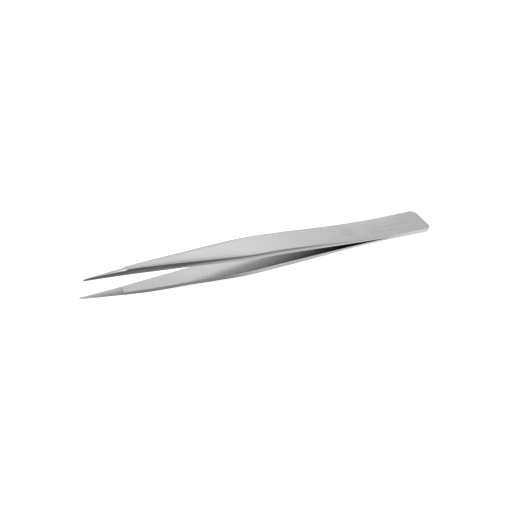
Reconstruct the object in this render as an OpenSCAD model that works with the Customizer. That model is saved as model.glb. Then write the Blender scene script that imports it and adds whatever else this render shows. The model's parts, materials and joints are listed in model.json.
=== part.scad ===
// Fine-point precision tweezers: two tapered steel strips, each bent into a long shallow bow,
// spot welded face to face at the heel. They lie at rest on a flat surface, on the belly of the
// lower strip and the rear edge of the heel, with the points raised. +X runs from the points to
// the heel, Y across the strips, +Z up.
// Each strip flexes just ahead of the weld. It is slit there, so that the arm in front can turn
// about the middle of the strip's thickness. The arm is drawn as a fine point, a tapered jaw and
// a thin spring, which meet face to face and move as one.

/* [Overall] */
// Length from the points to the heel's end
length = 120; // [110:1:140]

/* [Plan shape] */
// Width of each strip at its end
heel_width = 10; // [9:0.5:12]
// Width where the strip is held between the fingers
grip_width = 9.1; // [8:0.1:10]
// Width of the slight waist behind the grip
waist_width = 8.9; // [8:0.1:10]
// Width across each point
tip_width = 0.4; // [0.2:0.05:0.6]
// Radius of the two corners at the heel's end
corner_radius = 2; // [0.5:0.1:3]

/* [Side shape] */
// Distance from the middle plane to the inner face of a point
tip_half_gap = 2.85; // [2:0.05:4]
// Largest distance from the middle plane to an inner face, close behind the points
bow_half_gap = 3.1; // [2.2:0.05:4.2]
// Thickness of a strip at its point
tip_thickness = 0.5; // [0.3:0.05:0.6]
// Thickness of the stiff front half
blade_thickness = 1.45; // [1:0.05:1.8]
// Thickness at the grip
grip_thickness = 1.5; // [1:0.05:2]
// Thickness of the ground-down spring and of the heel
spring_thickness = 0.6; // [0.5:0.05:0.9]

/* [Heel] */
// Length over which the two strips lie face to face
weld_length = 15.6; // [14:0.2:20]
// Diameter of a weld nugget
nugget_diameter = 3.2; // [2:0.2:4]
// Thickness of a weld nugget, half of it in each strip
nugget_thickness = 0.6; // [0.4:0.1:0.8]
// Distance between the two weld nuggets
nugget_spacing = 6.4; // [5:0.2:7]

/* [Flexure] */
// Distance from the heel's end to the line about which an arm turns
hinge_from_end = 24; // [22:0.5:28]
// Clearance between an arm and its heel at that line
hinge_clearance = 0.03; // [0.02:0.01:0.08]

/* [Hidden] */
$fn = 48;
// Spacing of the points along a curved outline
curve_step = 4;
// Cuts reach this far past the strips on every side
beyond = 20;
hinge_x = length - hinge_from_end;
weld_x = length - weld_length;
// Where the point ends and the jaw begins
point_x = 0.2 * length;
// Where the jaw ends and the spring begins, at the widest part of the grip
grip_x = 0.46 * length;

// Stations along a strip: [share of the length from the point, value]
half_widths = [
    [0, tip_width / 2],
    [0.04, 0.068 * grip_width],
    [0.09, 0.128 * grip_width],
    [0.15, 0.178 * grip_width],
    [0.30, 0.335 * grip_width],
    [0.41, 0.465 * grip_width],
    [0.46, 0.5 * grip_width],
    [0.55, 0.5 * waist_width],
    [0.75, 0.7 * waist_width / 2 + 0.3 * heel_width / 2],
    [1, heel_width / 2]
];
half_gaps = [
    [0, tip_half_gap],
    [0.05, 0.975 * bow_half_gap],
    [0.12, 0.99 * bow_half_gap],
    [0.3, 0.89 * bow_half_gap],
    [0.5, 0.63 * bow_half_gap],
    [0.7, 0.26 * bow_half_gap],
    [0.8, 0.085 * bow_half_gap],
    [weld_x / length, 0],
    [1, 0]
];
thicknesses = [
    [0, tip_thickness],
    [0.04, 0.55 * blade_thickness],
    [0.14, blade_thickness],
    [0.3, blade_thickness],
    [0.45, grip_thickness],
    [0.57, 0.95 * grip_thickness],
    [0.72, 0.4 * grip_thickness + 0.35 * spring_thickness],
    [0.8, spring_thickness],
    [1, spring_thickness]
];

// A smooth curve through a list of stations, read at a share of the length
function slope(list, i) =
    let (a = max(i - 1, 0), b = min(i + 1, len(list) - 1))
    (list[b][1] - list[a][1]) / (list[b][0] - list[a][0]);
function span_of(list, s) = max([for (i = [0 : len(list) - 2]) list[i][0] <= s ? i : 0]);
function smooth(list, s) =
    let (i = span_of(list, s), d = list[i + 1][0] - list[i][0], u = (s - list[i][0]) / d)
    (2 * u ^ 3 - 3 * u ^ 2 + 1) * list[i][1] + (u ^ 3 - 2 * u ^ 2 + u) * d * slope(list, i)
    + (3 * u ^ 2 - 2 * u ^ 3) * list[i + 1][1] + (u ^ 3 - u ^ 2) * d * slope(list, i + 1);

function half_width(x) = smooth(half_widths, x / length);
function inner(x) = x >= weld_x ? 0 : max(0, smooth(half_gaps, x / length));
function thickness(x) = x >= 0.8 * length ? spring_thickness : smooth(thicknesses, x / length);
function outer(x) = inner(x) + thickness(x);

// The strip lies on its belly and on its heel's end, so this is the steepest line from the
// heel's end that still touches the belly.
curve_x = [for (x = [0 : curve_step : hinge_x]) x];
rest_tilt = max([for (x = curve_x) atan((outer(x) - spring_thickness) / (length - x))]);
rest_height = length / 2 * sin(rest_tilt) + spring_thickness * cos(rest_tilt);

// Seen from above: the taper from the points to the grip, and the heel with its round corners
module plan() {
    curve = [for (x = curve_x) [x, half_width(x)]];
    near_end = length - corner_radius;
    corner_y = heel_width / 2 - corner_radius;
    corner = [for (a = [75 : -15 : 0]) [near_end, corner_y] + corner_radius * [cos(a), sin(a)]];
    side = concat(curve, [[weld_x, half_width(weld_x)], [near_end, heel_width / 2]], corner);
    back = [for (i = [len(side) - 1 : -1 : 0]) [side[i][0], -side[i][1]]];
    polygon(concat(side, back));
}

// Seen from the side: the inner face above the middle plane, and the outer face above that
module side_profile() {
    front = concat(curve_x, [hinge_x + curve_step, weld_x]);
    under = [for (x = front) [x, inner(x)]];
    over = [for (i = [len(front) - 1 : -1 : 0]) [front[i], outer(front[i])]];
    polygon(concat(under, [[length, 0], [length, spring_thickness]], over));
}

module strip() {
    intersection() {
        translate([0, 0, -beyond]) linear_extrude(2 * beyond) plan();
        translate([0, beyond, 0]) rotate([90, 0, 0]) linear_extrude(2 * beyond) side_profile();
    }
}

// The stretch of a strip between two distances from the point
module stretch(from, to) {
    intersection() {
        strip();
        translate([from, -beyond, -beyond]) cube([to - from, 2 * beyond, 2 * beyond]);
    }
}

module point() {
    stretch(-beyond, point_x);
}

module jaw() {
    stretch(point_x, grip_x);
}

module spring() {
    stretch(grip_x, hinge_x - hinge_clearance / 2);
}

module nuggets() {
    for (side = [-1, 1])
        translate([length - weld_length / 2 + side * nugget_spacing / 2, 0, -nugget_thickness / 2])
            cylinder(h = nugget_thickness, d = nugget_diameter);
}

module heel() {
    difference() {
        stretch(hinge_x + hinge_clearance / 2, length + beyond);
        nuggets();
    }
}

// Puts a piece from the strips' own frame into the rest pose, centred over the surface
module at_rest() {
    translate([0, 0, rest_height]) rotate([0, rest_tilt, 0]) translate([-length / 2, 0, 0]) children();
}

module upper_point() {
    color("whitesmoke") at_rest() point();
}

module upper_jaw() {
    color("silver") at_rest() jaw();
}

module upper_spring() {
    color("lightgray") at_rest() spring();
}

module upper_heel() {
    color("gainsboro") at_rest() heel();
}

module lower_point() {
    color("slategray") at_rest() mirror([0, 0, 1]) point();
}

module lower_jaw() {
    color("darkgray") at_rest() mirror([0, 0, 1]) jaw();
}

module lower_spring() {
    color("gray") at_rest() mirror([0, 0, 1]) spring();
}

module lower_heel() {
    color("lightslategray") at_rest() mirror([0, 0, 1]) heel();
}

module weld_nuggets() {
    color("dimgray") at_rest() nuggets();
}

upper_point();
upper_jaw();
upper_spring();
upper_heel();
lower_point();
lower_jaw();
lower_spring();
lower_heel();
weld_nuggets();
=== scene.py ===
"""Fine-point precision tweezers: two bowed satin steel strips welded at a flat heel.

Each strip is one continuous mesh from its point to its heel. It stands for that strip's four
CAD nodes, and bends smoothly across the flexing stretch ahead of the weld.
"""

import json
import math

import bpy
from mathutils import Matrix, Vector


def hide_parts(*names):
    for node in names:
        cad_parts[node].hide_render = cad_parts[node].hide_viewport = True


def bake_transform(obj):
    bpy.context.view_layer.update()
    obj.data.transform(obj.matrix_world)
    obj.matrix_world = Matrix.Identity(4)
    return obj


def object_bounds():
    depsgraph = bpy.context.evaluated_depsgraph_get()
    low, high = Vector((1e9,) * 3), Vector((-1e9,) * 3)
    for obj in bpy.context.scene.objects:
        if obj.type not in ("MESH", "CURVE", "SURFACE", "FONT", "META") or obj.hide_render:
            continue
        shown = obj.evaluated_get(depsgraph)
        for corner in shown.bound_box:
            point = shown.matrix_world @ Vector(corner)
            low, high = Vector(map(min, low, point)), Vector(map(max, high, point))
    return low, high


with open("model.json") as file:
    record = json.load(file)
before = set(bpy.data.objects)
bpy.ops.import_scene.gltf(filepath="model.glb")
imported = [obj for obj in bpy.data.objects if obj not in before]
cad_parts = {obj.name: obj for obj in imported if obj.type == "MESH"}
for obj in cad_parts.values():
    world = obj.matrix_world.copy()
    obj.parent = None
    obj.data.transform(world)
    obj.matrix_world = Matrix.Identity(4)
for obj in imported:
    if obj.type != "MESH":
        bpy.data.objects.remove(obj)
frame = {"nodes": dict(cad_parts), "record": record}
cad_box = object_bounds()

MM = 0.001

# ---------------------------------------------------------------- the strips' own frame
# x runs from the points to the heel's end, y across, z from the middle plane, in millimetres.

mounts = {m["name"]: m for m in frame["record"]["mounts"]}
top_face = mounts["heel_upper_face"]
under_face = mounts["heel_under_face"]
UP = Vector(top_face["axis"]).normalized()
ALONG = Vector((UP.z, 0.0, -UP.x))
ACROSS = Vector((0.0, 1.0, 0.0))
reach = [v.co.dot(ALONG) for node in frame["nodes"].values() for v in node.data.vertices]
LENGTH = (max(reach) - min(reach)) / MM
heel_heights = [Vector(m["pos_m"]).dot(UP) for m in (top_face, under_face)]
POINT = ALONG * min(reach) + UP * (sum(heel_heights) / 2)
HEEL_THICKNESS = (heel_heights[0] - heel_heights[1]) / 2 / MM


def placed(x, y, z):
    """A place in the strips' own frame, in metres in the row frame."""
    return POINT + (ALONG * x + ACROSS * y + UP * z) * MM


# ---------------------------------------------------------------- the shape of a strip

TIP_WIDTH = 0.4
GRIP_WIDTH = 9.1
WAIST_WIDTH = 8.9
HEEL_WIDTH = 10.0
CORNER_RADIUS = 2.0
TIP_HALF_GAP = 2.85
BOW_HALF_GAP = 3.1
TIP_THICKNESS = 0.5
BLADE_THICKNESS = 1.45
GRIP_THICKNESS = 1.5
WELD_X = LENGTH - 15.6
THIN_X = 0.8 * LENGTH
# The points are ground on both faces over this length
GROUND_X = 13.4

# Stations along a strip: (share of the length from the point, value)
HALF_WIDTHS = [
    (0.0, TIP_WIDTH / 2),
    (0.04, 0.068 * GRIP_WIDTH),
    (0.09, 0.128 * GRIP_WIDTH),
    (0.15, 0.178 * GRIP_WIDTH),
    (0.30, 0.335 * GRIP_WIDTH),
    (0.41, 0.465 * GRIP_WIDTH),
    (0.46, 0.5 * GRIP_WIDTH),
    (0.55, 0.5 * WAIST_WIDTH),
    (0.75, 0.35 * WAIST_WIDTH + 0.15 * HEEL_WIDTH),
    (1.0, HEEL_WIDTH / 2),
]
HALF_GAPS = [
    (0.0, TIP_HALF_GAP),
    (0.05, 0.975 * BOW_HALF_GAP),
    (0.12, 0.99 * BOW_HALF_GAP),
    (0.3, 0.89 * BOW_HALF_GAP),
    (0.5, 0.63 * BOW_HALF_GAP),
    (0.7, 0.26 * BOW_HALF_GAP),
    (0.8, 0.085 * BOW_HALF_GAP),
    (WELD_X / LENGTH, 0.0),
    (1.0, 0.0),
]
THICKNESSES = [
    (0.0, TIP_THICKNESS),
    (0.04, 0.55 * BLADE_THICKNESS),
    (0.14, BLADE_THICKNESS),
    (0.3, BLADE_THICKNESS),
    (0.45, GRIP_THICKNESS),
    (0.57, 0.95 * GRIP_THICKNESS),
    (0.72, 0.4 * GRIP_THICKNESS + 0.35 * HEEL_THICKNESS),
    (0.8, HEEL_THICKNESS),
    (1.0, HEEL_THICKNESS),
]
# The sides lean in over nearly their whole height behind the points, and only along their outer
# edge from the grip on: the share of the thickness that leans
LEAN_SHARES = [
    (0.0, 0.94),
    (0.2, 0.94),
    (0.25, 0.7),
    (0.3, 0.42),
    (0.36, 0.28),
    (0.5, 0.2),
    (0.85, 0.16),
    (1.0, 0.1),
]
# How far in each strip's sides lean
UPPER_INSETS = [
    (0.0, 0.1),
    (0.05, 0.34),
    (0.1, 0.52),
    (0.15, 0.54),
    (0.2, 0.5),
    (0.3, 0.42),
    (0.36, 0.34),
    (0.42, 0.23),
    (0.7, 0.2),
    (1.0, 0.06),
]
LOWER_INSETS = [
    (0.0, 0.13),
    (0.05, 0.44),
    (0.1, 0.6),
    (0.15, 0.6),
    (0.2, 0.56),
    (0.3, 0.5),
    (0.36, 0.37),
    (0.42, 0.13),
    (0.7, 0.09),
    (1.0, 0.03),
]
# The inner edges are broken, a little more at the heel: the radius there
INNER_EDGES = [(0.0, 0.06), (0.75, 0.06), (0.87, 0.12), (1.0, 0.12)]
# The outer face falls away softly along its edges: the slope there, and the width of that stretch
SOFT_SLOPES = [(0.0, 0.02), (0.15, 0.06), (0.25, 0.1), (0.38, 0.09), (0.5, 0.05), (1.0, 0.04)]
SOFT_WIDTH = 1.2
# Painted light along the strip: the steel is painted lighter ahead of the grip and darker behind it,
# as the lights fall along its length
PAINTED_LIGHT_TONES = [
    (0.0, 1.0),
    (0.25, 1.0),
    (0.3, 1.05),
    (0.42, 1.06),
    (0.5, 1.0),
    (0.59, 0.955),
    (0.68, 1.0),
    (1.0, 1.0),
]
# How the two hand-ground strips differ, in millimetres, slopes, and finishes and painted light from 0
# to 1:
#   side: the side of the middle plane
#   insets: how far in the sides lean
#   wider: how much wider each side is, on WIDER_STRETCH
#   crown: how steep the outer face is at its edges, on the ground point
#   arch: how steep it is there on ARCH_STRETCH
#   belly: how far the outer face falls away towards its edges, on BELLY_STRETCH
#   slant: how steeply the inner face slopes across the strip, on SLANT_STRETCH
#   bright_length: over what length behind the tip the sides' dullness and painted shade fade in, from
#       none at the ground bright point
#   dullness: how dull the sides are, and how dark their painted shade, along their inner and their
#       outer edge
#   polish: where the sides begin to be polished, and where they are fully polished, their painted
#       shade giving way there
#   polish_lag: how much further back that is along the outer edge
#   dull_edge: how dull the polished sides stay along the outer edge, and how dark their painted shade
#       there
#   bright_flank: how strongly one flank of the ground outer face is lit by a painted highlight
STRIPS = {
    "upper": {
        "side": 1,
        "insets": UPPER_INSETS,
        "wider": 0.16,
        "crown": 0.75,
        "arch": 0.09,
        "belly": 0.0,
        "slant": 0.0,
        "bright_length": 0.5,
        "dullness": (0.56, 0.85),
        "polish": (24.0, 60.0),
        "polish_lag": 10.0,
        "dull_edge": 0.38,
        "bright_flank": 1.0,
    },
    "lower": {
        "side": -1,
        "insets": LOWER_INSETS,
        "wider": 0.3,
        "crown": 0.2,
        "arch": 0.0,
        "belly": 0.16,
        "slant": 0.032,
        "bright_length": 8.0,
        "dullness": (0.5, 1.0),
        "polish": (44.0, 60.0),
        "polish_lag": 0.0,
        "dull_edge": 0.0,
        "bright_flank": 0.0,
    },
}
# Stretches for bump(): where a difference starts, is full, fades and ends
WIDER_STRETCH = (10.0, 24.0, 38.0, 52.0)
ARCH_STRETCH = (14.0, 22.0, 44.0, 62.0)
BELLY_STRETCH = (28.0, 38.0, 58.0, 80.0)
SLANT_STRETCH = (16.0, 36.0, 54.0, THIN_X)
# Where the crown of a ground point fades
CROWN_FADE = (GROUND_X - 0.5, GROUND_X + 0.7)


def smooth(stations, s):
    """The value at a share s of the length, on a smooth curve through the stations."""
    i = max(k for k in range(len(stations) - 1) if stations[k][0] <= s or k == 0)

    def slope(k):
        a, b = stations[max(k - 1, 0)], stations[min(k + 1, len(stations) - 1)]
        return (b[1] - a[1]) / (b[0] - a[0])

    (s0, v0), (s1, v1) = stations[i], stations[i + 1]
    d = s1 - s0
    u = (s - s0) / d
    rise = 3 * u * u - 2 * u**3
    bend = (u**3 - 2 * u * u + u) * slope(i) + (u**3 - u * u) * slope(i + 1)
    return (1 - rise) * v0 + rise * v1 + bend * d


def ramp(value, start, end):
    """0 before start, 1 after end, smooth between."""
    t = min(max((value - start) / (end - start), 0.0), 1.0)
    return t * t * (3 - 2 * t)


def bump(x, start, full, fade, end):
    """0 before start and after end, 1 between full and fade."""
    return ramp(x, start, full) * (1 - ramp(x, fade, end))


def half_width(x, strip):
    return smooth(HALF_WIDTHS, x / LENGTH) + strip["wider"] * bump(x, *WIDER_STRETCH)


def inner(x):
    return 0.0 if x >= WELD_X else max(0.0, smooth(HALF_GAPS, x / LENGTH))


def thickness(x):
    return HEEL_THICKNESS if x >= THIN_X else smooth(THICKNESSES, x / LENGTH)


TIP_RADIUS = 0.16
FIRST_TURN = math.radians(25)
ARC_STEPS = 6
# The outline's direction at a place is read this far to either side of it
DIRECTION_REACH = 0.05
CORNER_X = LENGTH - CORNER_RADIUS
# Slices are closest where the grinding ends, and widest behind SPARSE_X
STEP_START = GROUND_X - 1.0
STEP_END = GROUND_X + 1.0
SPARSE_X = 46.0
# Where the strip is sliced: from, to, and about how far apart
SLICES = [
    (TIP_RADIUS, STEP_START, 0.5),
    (STEP_START, STEP_END, 0.1),
    (STEP_END, SPARSE_X, 0.8),
    (SPARSE_X, CORNER_X, 1.25),
]


def edge_stations():
    """Where the strip is sliced, from the round nose to the heel's corners."""
    xs = []
    for start, end, step in SLICES:
        count = max(1, round((end - start) / step))
        xs += [start + (end - start) * k / count for k in range(count)]
    return xs + [CORNER_X]


def outline(strip):
    """The +Y edge seen from above, as points with the direction into the strip: (x, y, nx, ny)."""
    points = []
    for k in range(ARC_STEPS):
        turn = FIRST_TURN + (math.pi / 2 - FIRST_TURN) * k / ARC_STEPS
        c, s = math.cos(turn), math.sin(turn)
        points.append((TIP_RADIUS * (1 - c), TIP_RADIUS * s, c, -s))
    for x in edge_stations():
        ahead, behind = half_width(x - DIRECTION_REACH, strip), half_width(x + DIRECTION_REACH, strip)
        rate = (behind - ahead) / (2 * DIRECTION_REACH)
        size = math.hypot(rate, 1)
        points.append((x, half_width(x, strip), rate / size, -1 / size))
    corner_y = half_width(CORNER_X, strip) - CORNER_RADIUS
    for k in range(1, 2 * ARC_STEPS + 1):
        turn = math.pi / 2 * (1 - k / (2 * ARC_STEPS))
        c, s = math.cos(turn), math.sin(turn)
        points.append((CORNER_X + CORNER_RADIUS * c, corner_y + CORNER_RADIUS * s, -c, -s))
    return points


# The end of the grinding bulges backwards, more on the +Y side, and is slightly blurred
GROUND_BULGE = 0.5
GROUND_SKEW = 0.25
GROUND_BLUR = 0.12
# How far the inner face is ground away at that end
GROUND_DEPTH = 0.03
# Keeps divisions by a width away from zero
TINY = 1e-6


def ground_share(x, y, w):
    """1 on the ground stretch behind a point and 0 beyond its curved end."""
    across = y / w
    end = GROUND_X + GROUND_BULGE * (1 - across * across) + GROUND_SKEW * across
    return 1 - ramp(x, end - GROUND_BLUR, end + GROUND_BLUR)


# The largest shares of the half width for the inner edge's radius, the lean of a side, the lean
# with its curve into the outer face, and the soft stretch of that face
MAX_RADIUS = 0.3
MAX_INSET = 0.6
MAX_CURVED = 0.75
MAX_SOFT = 0.6
# A leaning stretch is straight in its middle. The shares of it that curve into the side and into
# the outer face, and how far those curves reach past it: a share of the side, and millimetres
LOW_CURVE = 0.15
HIGH_CURVE = 0.2
SIDE_REACH = 0.25
FACE_REACH = 0.12
LOW_STEPS = 4
HIGH_STEPS = 6


def curve(a, b, c, steps):
    """Points of the quadratic curve from a to c that leans on b."""
    out = []
    for k in range(steps + 1):
        u = k / steps
        out.append(tuple((1 - u) ** 2 * a[i] + 2 * u * (1 - u) * b[i] + u * u * c[i] for i in (0, 1)))
    return out


def side_profile(x, w, strip):
    """The edge of a cross-section, from the inner face to the outer face: (inset, height)."""
    t = thickness(x)
    s = x / LENGTH
    radius = min(smooth(INNER_EDGES, s), MAX_RADIUS * w)
    drop = min(smooth(LEAN_SHARES, s) * t, t - radius)
    inset = min(smooth(strip["insets"], s), MAX_INSET * w)
    turns = (0, math.pi / 4, math.pi / 2)
    points = [(radius * (1 - math.sin(a)), radius * (1 - math.cos(a))) for a in turns]
    points.append((0.0, (radius + t - drop) / 2))
    low, high = (0.0, t - drop), (inset, t)
    start = (0.0, low[1] - SIDE_REACH * (low[1] - radius))
    first = (inset * LOW_CURVE, low[1] + drop * LOW_CURVE)
    second = (inset * (1 - HIGH_CURVE), t - drop * HIGH_CURVE)
    finish = (min(inset + FACE_REACH, MAX_CURVED * w), t)
    return points + curve(start, low, first, LOW_STEPS) + curve(second, high, finish, HIGH_STEPS)


# Where the columns of a face lie between its edges, as shares of its width
COLUMNS = [0.02, 0.06, 0.14, 0.25, 0.375, 0.5, 0.625, 0.75, 0.86, 0.94, 0.98]


def section(x, y, nx, ny, strip):
    """One ring round the strip as (x, y, z) points: +Y side, outer face, -Y side, inner face."""
    base = inner(x)
    w = max(y, TINY)
    side = [(x + nx * inset, y + ny * inset, height) for inset, height in side_profile(x, y, strip)]
    low_x, low_y = side[0][:2]
    top_x, top_y, top_v = side[-1]
    crown = strip["crown"] / 2 * top_y * (1 - ramp(x, *CROWN_FADE))
    crown += strip["arch"] / 2 * top_y * bump(x, *ARCH_STRETCH)
    crown += strip["belly"] * bump(x, *BELLY_STRETCH)
    slant = strip["slant"] * bump(x, *SLANT_STRETCH)
    soft_width = min(SOFT_WIDTH, MAX_SOFT * top_y)
    soft_drop = smooth(SOFT_SLOPES, x / LENGTH) * soft_width / 2

    def shaped(px, py, v):
        """The point at height v of a flat section, moved to where the shaped faces put it."""
        share = v / top_v
        lift = GROUND_DEPTH * ground_share(px, py, w) * min(1.0, px / GROUND_X)
        into_edge = min(max((abs(py) - top_y) / soft_width + 1, 0.0), 1.0)
        fall = crown * min(1.0, (py / top_y) ** 2) + soft_drop * into_edge**2
        return px, py, base + v - share * fall + (1 - share) * (lift + slant * py)

    left = [shaped(px, py, v) for px, py, v in side]
    top = [shaped(top_x, top_y * (1 - 2 * f), top_v) for f in COLUMNS]
    right = [shaped(px, -py, v) for px, py, v in reversed(side)]
    under = [shaped(low_x, -low_y * (1 - 2 * f), 0.0) for f in COLUMNS]
    return left, top, right, under


def side_faces(ring_count, n):
    """The quads between neighbouring rings of n points each."""
    faces = []
    for r in range(ring_count - 1):
        for i in range(n):
            j = (i + 1) % n
            faces.append((r * n + i, r * n + j, (r + 1) * n + j, (r + 1) * n + i))
    return faces


def end_faces(points, ring, first, flip):
    """Closes a ring with a grid of quads and adds the grid's points. first is the ring's start."""
    left, top, right = ring[:3]
    k, m = len(left), len(top)
    index = [[None] * (m + 2) for _ in range(k)]
    for i in range(k):
        index[i][0] = first + i
        index[i][m + 1] = first + 2 * k + m - 1 - i
    for j in range(m):
        index[k - 1][j + 1] = first + k + j
        index[0][j + 1] = first + 2 * k + 2 * m - 1 - j
    for i in range(1, k - 1):
        a, b = left[i], right[k - 1 - i]
        for j, f in enumerate(COLUMNS):
            index[i][j + 1] = len(points)
            points.append(tuple(a[n] + (b[n] - a[n]) * f for n in range(3)))
    faces = []
    for i in range(k - 1):
        for j in range(m + 1):
            quad = (index[i][j], index[i][j + 1], index[i + 1][j + 1], index[i + 1][j])
            faces.append(quad[::-1] if flip else quad)
    return faces


LEFT_SIDE, OUTER_FACE, RIGHT_SIDE, INNER_FACE = range(4)
# Where a strip's dull outer edge with its painted shade fades, along it, and where that edge lies up
# the side
SHADED_EDGE_FADE = (66.0, 92.0)
SHADED_EDGE_HEIGHTS = (0.3, 0.7)
# A painted highlight lights the -Y flank of a ground point from here to the grinding's end, and across
# this share
FLANK_START = 8.0
FLANK_SHARE = 0.4
# The heel's own edge carries a painted highlight: where that begins, and where it is full
HEEL_PAINTED_HIGHLIGHT = (96.0, 114.0)


def side_dullness_and_shade(x, z, strip):
    """How dull a side is, and how dark its painted shade, from 0 to 1: ground bright, unpolished and
    polished along the strip.
    """
    height = (z - inner(x)) / thickness(x)
    at_inner, at_outer = strip["dullness"]
    unpolished_shade = at_inner + (at_outer - at_inner) * min(max(height, 0.0), 1.0)
    polished = ramp(x - strip["polish_lag"] * height, *strip["polish"])
    # Painted shade along the outer edge of the polished sides, where they are also duller
    shaded_edge = strip["dull_edge"] * ramp(height, *SHADED_EDGE_HEIGHTS) * (1 - ramp(x, *SHADED_EDGE_FADE))
    return ramp(x, 0.0, strip["bright_length"]) * (unpolished_shade + (shaded_edge - unpolished_shade) * polished)


def finish_of(number, x, y, z, strip):
    """How dull and painted-shaded, ground, outward-facing and painted-highlighted a ring's point is,
    each from 0 to 1.
    """
    if number in (LEFT_SIDE, RIGHT_SIDE):
        return side_dullness_and_shade(x, z, strip), 0.0, 0.0, ramp(x, *HEEL_PAINTED_HIGHLIGHT)
    w = max(half_width(x, strip), TINY)
    ground = ground_share(x, y, w)
    if number == INNER_FACE:
        return 0.0, ground, 0.0, 0.0
    # Painted highlight on the -Y flank of the ground outer face
    highlight_flank = strip["bright_flank"] * ramp(x, FLANK_START, GROUND_X) * ramp(-y / w, 0.0, FLANK_SHARE)
    return 0.0, 0.0, 1.0, highlight_flank * ground


def add_values(mesh, name, values):
    """Gives each of a mesh's points a value for the materials to read."""
    layer = mesh.attributes.new(name, "FLOAT", "POINT")
    layer.data.foreach_set("value", values)


def strip_mesh(name, strip):
    """One strip, as a closed mesh of quads."""
    side = strip["side"]
    rings = [section(*point, strip) for point in outline(strip)]
    points = []
    finishes = []
    for ring in rings:
        for number, part in enumerate(ring):
            points += part
            finishes += [finish_of(number, *point, strip) for point in part]
    n = sum(len(part) for part in rings[0])
    faces = side_faces(len(rings), n)
    faces += end_faces(points, rings[0], 0, False)
    faces += end_faces(points, rings[-1], (len(rings) - 1) * n, True)
    finishes += [finish_of(LEFT_SIDE, *point, strip) for point in points[len(finishes):]]
    if side < 0:
        faces = [face[::-1] for face in faces]
    mesh = bpy.data.meshes.new(name)
    mesh.from_pydata([placed(x, y, side * z) for x, y, z in points], [], faces)
    local = mesh.attributes.new("strip_mm", "FLOAT_VECTOR", "POINT")
    local.data.foreach_set("vector", [c for x, y, z in points for c in (x, y, side * z)])
    # The dull mask carries painted shade as well as dullness; the bright mask carries a painted
    # highlight
    for column, quality in enumerate(("dull_and_shade", "ground", "outer", "painted_highlight")):
        add_values(mesh, quality, [finish[column] for finish in finishes])
    # Painted light along the strip: lighter ahead of the grip, darker behind it
    add_values(mesh, "tone", [smooth(PAINTED_LIGHT_TONES, point[0] / LENGTH) for point in points])
    for face in mesh.polygons:
        face.use_smooth = True
    mesh.validate()
    obj = bpy.data.objects.new(name, mesh)
    bpy.context.scene.collection.objects.link(obj)
    return obj


# ---------------------------------------------------------------- materials


class Nodes:
    """Short calls for building one material's or the world's node tree."""

    def __init__(self, tree):
        self.tree = tree
        tree.nodes.clear()

    def add(self, kind, links=(), **settings):
        node = self.tree.nodes.new(kind)
        for key, value in settings.items():
            setattr(node, key, value)
        for socket, source in dict(links).items():
            self.feed(node.inputs[socket], source)
        return node

    def feed(self, socket, source):
        """Links another node's output to a socket, or sets a plain value on it."""
        if isinstance(source, bpy.types.NodeSocket):
            self.tree.links.new(source, socket)
        else:
            socket.default_value = source

    def attribute(self, name, output="Fac"):
        return self.add("ShaderNodeAttribute", attribute_name=name).outputs[output]

    def math(self, operation, a, b=0.0):
        return self.add("ShaderNodeMath", {0: a, 1: b}, operation=operation).outputs[0]

    def weighed(self, a, weight_a, b, weight_b):
        """The sum of two values, each times its weight."""
        return self.math("ADD", self.math("MULTIPLY", a, weight_a), self.math("MULTIPLY", b, weight_b))

    def between(self, value, start, end, low=0.0, high=1.0):
        links = {"Value": value, "From Min": start, "From Max": end, "To Min": low, "To Max": high}
        return self.add("ShaderNodeMapRange", links, interpolation_type="SMOOTHSTEP").outputs[0]

    def stretched(self, vector, scale):
        links = {0: vector, 1: scale}
        return self.add("ShaderNodeVectorMath", links, operation="MULTIPLY").outputs[0]

    def blend(self, factor, a, b):
        """a where factor is 0 and b where it is 1: two colours, or two numbers."""
        kind = "RGBA" if isinstance(b, tuple) else "FLOAT"
        node = self.add("ShaderNodeMix", data_type=kind)
        sockets = [socket for socket in node.inputs if socket.enabled]
        for socket, source in zip(sockets, (factor, a, b)):
            self.feed(socket, source)
        return next(output for output in node.outputs if output.enabled)

    def noise(self, vector, scale, detail):
        links = {"Vector": self.stretched(vector, scale), "Scale": 1.0, "Detail": detail}
        return self.add("ShaderNodeTexNoise", links).outputs["Fac"]


MARK_TONE = 0.93
MARK_BLUR = 0.12
# Two plain etched bars on the upper heel: middle x, middle y, half length, half height
ETCHED_BARS = [(107.0, 0.0, 7.5, 0.4), (103.3, -1.75, 4.7, 0.4)]
# A plain etched round spot ahead of them
ETCHED_SPOT = (91.0, 0.0, 0.0)
SPOT_RADIUS = 1.9


def etched_marks(n, place):
    """1 on the faint etched marks of the upper heel's outer face, and 0 elsewhere."""
    x, y, z = n.add("ShaderNodeSeparateXYZ", {"Vector": place}).outputs
    marks = 0.0
    for middle_x, middle_y, half_length, half_height in ETCHED_BARS:
        along = n.math("ABSOLUTE", n.math("SUBTRACT", x, middle_x))
        across = n.math("ABSOLUTE", n.math("SUBTRACT", y, middle_y))
        in_length = n.between(along, half_length, half_length + MARK_BLUR, 1.0, 0.0)
        in_height = n.between(across, half_height, half_height + MARK_BLUR, 1.0, 0.0)
        marks = n.math("ADD", n.math("MULTIPLY", in_length, in_height), marks)
    links = {0: place, 1: ETCHED_SPOT}
    offset = n.add("ShaderNodeVectorMath", links, operation="SUBTRACT").outputs[0]
    flat = n.stretched(offset, (1.0, 1.0, 0.0))
    radius = n.add("ShaderNodeVectorMath", {0: flat}, operation="LENGTH").outputs["Value"]
    marks = n.math("ADD", marks, n.between(radius, SPOT_RADIUS, SPOT_RADIUS + MARK_BLUR, 1.0, 0.0))
    upper = n.math("GREATER_THAN", z, 0.0)
    return n.math("MULTIPLY", marks, n.math("MULTIPLY", n.attribute("outer"), upper))


STEEL = (0.427, 0.42, 0.412, 1.0)
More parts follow.
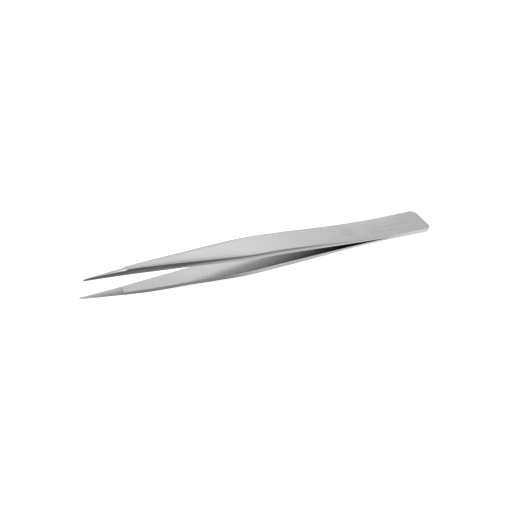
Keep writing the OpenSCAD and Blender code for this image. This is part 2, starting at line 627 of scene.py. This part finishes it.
# A painted highlight: steel painted lighter than STEEL
PAINTED_HIGHLIGHT_STEEL = (0.58, 0.57, 0.56, 1.0)
# Ground steel: darker where ground, and with painted shade towards -Y
GROUND_AND_SHADED_STEEL = (0.25, 0.25, 0.248, 1.0)
# Near-black steel for dull sides: partly a rougher unpolished finish, mostly painted shade
DULL_STEEL_WITH_PAINTED_SHADE = (0.03, 0.0295, 0.029, 1.0)
# Noise per millimetre along, across and up: lines along the strip, lines across it, slow clouds
FINE_LINES = (0.25, 9.0, 9.0)
BROAD_LINES = (0.06, 2.4, 2.4)
CROSS_LINES = (9.0, 0.8, 0.8)
CLOUDS = (0.12, 0.4, 0.4)
LINE_DETAIL = 3.0
CLOUD_DETAIL = 2.0
BROAD_SHARE = 0.3
# The steel's lightness: without lines or clouds, and what each of them adds
BASE_TONE = 0.84
LINE_TONE = 0.26
CLOUD_TONE = 0.06
# How dark the painted shade line is where the grinding ends
STEP_PAINTED_SHADE = 1.6
# Painted shade on the ground inner faces, darker towards -Y: where that is full, and where it ends
PAINTED_SHADE_SPAN = (-1.3, 0.9)
# Roughness of the two faces, and what the lines, the clouds and a duller finish add
INNER_ROUGHNESS = 0.19
OUTER_ROUGHNESS = 0.15
LINE_ROUGHNESS = 0.06
CLOUD_ROUGHNESS = 0.04
DULL_ROUGHNESS = 0.08
LINE_RELIEF = {"Strength": 0.3, "Distance": 0.000001}


def steel_grain(n, place, ground):
    """Fine and broad grinding lines along the strip, and short ones across it where it is ground."""
    fine = n.noise(place, FINE_LINES, LINE_DETAIL)
    broad = n.noise(place, BROAD_LINES, LINE_DETAIL)
    cross = n.noise(place, CROSS_LINES, LINE_DETAIL)
    return n.blend(ground, n.blend(BROAD_SHARE, fine, broad), cross)


def steel_tone(n, place, ground, grain, cloud):
    """How light the steel is: grain, clouds, painted light along the strip, the painted shade line of
    the grinding's end, the marks.
    """
    tone = n.math("ADD", n.weighed(grain, LINE_TONE, cloud, CLOUD_TONE), BASE_TONE)
    # Painted light along the strip, from the tone values
    tone = n.math("MULTIPLY", tone, n.attribute("tone"))
    # Painted shade: a dark line where the grinding ends
    step = n.math("MULTIPLY", ground, n.math("SUBTRACT", 1.0, ground))
    tone = n.math("MULTIPLY", tone, n.math("SUBTRACT", 1.0, n.math("MULTIPLY", step, STEP_PAINTED_SHADE)))
    return n.math("MULTIPLY", tone, n.between(etched_marks(n, place), 0.0, 1.0, 1.0, MARK_TONE))


def steel_colour(n, place, ground, dull_and_shade):
    """The steel's colour before its tone: darker where it is ground, with painted shade towards -Y;
    darker on dull sides, mostly painted shade; lighter where a painted highlight lies.
    """
    y = n.add("ShaderNodeSeparateXYZ", {"Vector": place}).outputs["Y"]
    # Painted shade on the ground faces, darker towards -Y
    painted_shade = n.math("MULTIPLY", ground, n.between(y, *PAINTED_SHADE_SPAN, 1.0, 0.0))
    colour = n.blend(painted_shade, STEEL, GROUND_AND_SHADED_STEEL)
    # Dull sides darken: partly their duller finish, mostly painted shade
    colour = n.blend(dull_and_shade, colour, DULL_STEEL_WITH_PAINTED_SHADE)
    # Painted highlight on the -Y flank of the ground upper point and on the heel's edge
    return n.blend(n.attribute("painted_highlight"), colour, PAINTED_HIGHLIGHT_STEEL)


def steel_roughness(n, ground, dull_and_shade, grain, cloud):
    """The outer faces are the smoothest, and ground or dull places the roughest."""
    face = n.blend(n.attribute("outer"), INNER_ROUGHNESS, OUTER_ROUGHNESS)
    rough = n.math("ADD", n.weighed(grain, LINE_ROUGHNESS, cloud, CLOUD_ROUGHNESS), face)
    worked = n.math("MAXIMUM", ground, dull_and_shade)
    return n.math("ADD", rough, n.math("MULTIPLY", worked, DULL_ROUGHNESS))


def satin_steel():
    """Satin stainless steel, with the finishes that the strips' points carry, and painted shade and
    painted highlights in its colour.
    """
    material = bpy.data.materials.new("satin_steel")
    material.use_nodes = True
    n = Nodes(material.node_tree)
    place = n.attribute("strip_mm", "Vector")
    ground = n.attribute("ground")
    dull_and_shade = n.attribute("dull_and_shade")
    grain = steel_grain(n, place, ground)
    cloud = n.noise(place, CLOUDS, CLOUD_DETAIL)
    colour = steel_colour(n, place, ground, dull_and_shade)
    tone = steel_tone(n, place, ground, grain, cloud)
    shade = n.add("ShaderNodeVectorMath", {0: colour, "Scale": tone}, operation="SCALE").outputs[0]
    rough = steel_roughness(n, ground, dull_and_shade, grain, cloud)
    relief = n.add("ShaderNodeBump", {"Height": grain, **LINE_RELIEF}).outputs[0]
    links = {"Base Color": shade, "Metallic": 1.0, "Roughness": rough, "Normal": relief}
    shader = n.add("ShaderNodeBsdfPrincipled", links)
    n.add("ShaderNodeOutputMaterial", {"Surface": shader.outputs[0]})
    return material


# Fused metal: noise per metre, and the tones and roughnesses of its darkest and lightest grain
WELD_GRAIN = (4000.0, 4000.0, 4000.0)
WELD_DETAIL = 4.0
GRAIN_SPAN = (0.3, 0.7)
WELD_TONES = (0.34, 0.46)
WELD_ROUGHNESSES = (0.45, 0.6)
WELD_RELIEF = {"Strength": 0.4, "Distance": 0.00002}


def weld_steel():
    """The matt fused metal of the hidden welds."""
    material = bpy.data.materials.new("weld_steel")
    material.use_nodes = True
    n = Nodes(material.node_tree)
    place = n.add("ShaderNodeTexCoord").outputs["Object"]
    grain = n.noise(place, WELD_GRAIN, WELD_DETAIL)
    tone = n.between(grain, *GRAIN_SPAN, *WELD_TONES)
    rough = n.between(grain, *GRAIN_SPAN, *WELD_ROUGHNESSES)
    colour = n.add("ShaderNodeCombineColor", {"Red": tone, "Green": tone, "Blue": tone}).outputs[0]
    relief = n.add("ShaderNodeBump", {"Height": grain, **WELD_RELIEF}).outputs[0]
    links = {"Base Color": colour, "Metallic": 1.0, "Roughness": rough, "Normal": relief}
    shader = n.add("ShaderNodeBsdfPrincipled", links)
    n.add("ShaderNodeOutputMaterial", {"Surface": shader.outputs[0]})
    return material


FLOOR_GREY = (0.5, 0.5, 0.5, 1.0)
FLOOR_ROUGHNESS = 0.9
FLOOR_GLOW = 0.78


def floor_paint():
    """A white light table: plain, pale and softly lit from within."""
    material = bpy.data.materials.new("pale_floor")
    material.use_nodes = True
    n = Nodes(material.node_tree)
    links = {
        "Base Color": FLOOR_GREY,
        "Roughness": FLOOR_ROUGHNESS,
        "Specular IOR Level": 0.0,
        "Emission Color": (1.0, 1.0, 1.0, 1.0),
        "Emission Strength": FLOOR_GLOW,
    }
    shader = n.add("ShaderNodeBsdfPrincipled", links)
    n.add("ShaderNodeOutputMaterial", {"Surface": shader.outputs[0]})
    return material


# ---------------------------------------------------------------- pieces

steel = satin_steel()

for label, strip in STRIPS.items():
    piece = strip_mesh(f"{label}_strip", strip)
    piece.data.materials.append(steel)
    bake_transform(piece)
    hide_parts(f"{label}_point", f"{label}_jaw", f"{label}_spring", f"{label}_heel")

nuggets = frame["nodes"]["weld_nuggets"]
nuggets.data.materials.clear()
nuggets.data.materials.append(weld_steel())

# ---------------------------------------------------------------- studio

FLOOR_SIZE = 6.0
SQUARE = ((-1, -1), (1, -1), (1, 1), (-1, 1))


def floor_sheet():
    """A square sheet that the tweezers lie on, facing up."""
    corners = [(a * FLOOR_SIZE / 2, b * FLOOR_SIZE / 2, 0.0) for a, b in SQUARE]
    mesh = bpy.data.meshes.new("floor")
    mesh.from_pydata(corners, [], [(0, 1, 2, 3)])
    mesh.materials.append(floor_paint())
    obj = bpy.data.objects.new("floor", mesh)
    bpy.context.scene.collection.objects.link(obj)
    return obj


floor = floor_sheet()

COOL_WHITE = (0.975, 0.995, 1.025)
FRONT_LIGHT = 0.76
BACK_LIGHT = 1.04
OVERHEAD_LIGHT = 1.44
UPPER_WALL_SHARE = 0.8
# Where one part of the room gives way to the next: the Y or the Z of a unit direction there
BACK_SPAN = (-0.3, 0.25)
UPPER_WALL_SPAN = (0.53, 0.66)
OVERHEAD_SPAN = (0.72, 0.84)


def studio_world():
    """A white room behind and overhead, and a dim one in front."""
    world = bpy.data.worlds.new("studio")
    bpy.context.scene.world = world
    world.use_nodes = True
    n = Nodes(world.node_tree)
    direction = n.add("ShaderNodeTexCoord").outputs["Generated"]
    axes = n.add("ShaderNodeSeparateXYZ", {"Vector": direction}).outputs
    room = n.between(axes["Y"], *BACK_SPAN, FRONT_LIGHT, BACK_LIGHT)
    wall = n.math("MULTIPLY", room, n.between(axes["Z"], *UPPER_WALL_SPAN, 1.0, UPPER_WALL_SHARE))
    light = n.blend(n.between(axes["Z"], *OVERHEAD_SPAN), wall, OVERHEAD_LIGHT)
    background = n.add("ShaderNodeBackground", {"Color": (*COOL_WHITE, 1.0), "Strength": light})
    n.add("ShaderNodeOutputWorld", {"Surface": background.outputs[0]})


# The light's azimuth is from +Y towards +X. It faces the tweezers.
BOX_AZIMUTH = math.radians(38.8)
BOX_ELEVATION = math.radians(31.8)
BOX_DISTANCE = 0.34
BOX_SIZE = 0.12
BOX_POWER = 0.0205


def back_softbox():
    """A square soft light behind the tweezers and to their heel's side."""
    level = math.cos(BOX_ELEVATION)
    towards = Vector(
        (math.sin(BOX_AZIMUTH) * level, math.cos(BOX_AZIMUTH) * level, math.sin(BOX_ELEVATION))
    )
    data = bpy.data.lights.new("back_softbox", "AREA")
    data.shape = "SQUARE"
    data.size = BOX_SIZE
    data.energy = BOX_POWER
    data.color = COOL_WHITE
    light = bpy.data.objects.new("back_softbox", data)
    light.location = towards * BOX_DISTANCE
    light.rotation_euler = towards.to_track_quat("Z", "Y").to_euler()
    bpy.context.scene.collection.objects.link(light)


studio_world()
back_softbox()

# ---------------------------------------------------------------- camera

VIEW_AZIMUTH = math.radians(-38.4)
VIEW_ELEVATION = math.radians(35.25)
VIEW_ROLL = math.radians(10.7)
VIEW_DISTANCE = 5 * LENGTH * MM
LENS = 145.6
NEAREST = 0.01
# The middle of the picture, from the middle of the tweezers' box
AIM = Vector((-1.92, -0.02, -1.71)) * MM


def set_camera():
    """A camera with a long lens, in front of the tweezers and above them, rolled a little."""
    ca, sa = math.cos(VIEW_AZIMUTH), math.sin(VIEW_AZIMUTH)
    ce, se = math.cos(VIEW_ELEVATION), math.sin(VIEW_ELEVATION)
    back = Vector((sa * ce, -ca * ce, se))
    level = Vector((ca, sa, 0.0))
    rise = back.cross(level)
    right = level * math.cos(VIEW_ROLL) + rise * math.sin(VIEW_ROLL)
    up = rise * math.cos(VIEW_ROLL) - level * math.sin(VIEW_ROLL)
    low, high = (Vector(corner) for corner in cad_box)
    place = (low + high) / 2 + AIM + back * VIEW_DISTANCE
    data = bpy.data.cameras.new("camera")
    data.lens = LENS
    data.clip_start = NEAREST
    camera = bpy.data.objects.new("camera", data)
    bpy.context.scene.collection.objects.link(camera)
    camera.matrix_world = Matrix.Translation(place) @ Matrix((right, up, back)).transposed().to_4x4()
    bpy.context.scene.camera = camera


set_camera()
bpy.context.scene.view_settings.view_transform = "Standard"
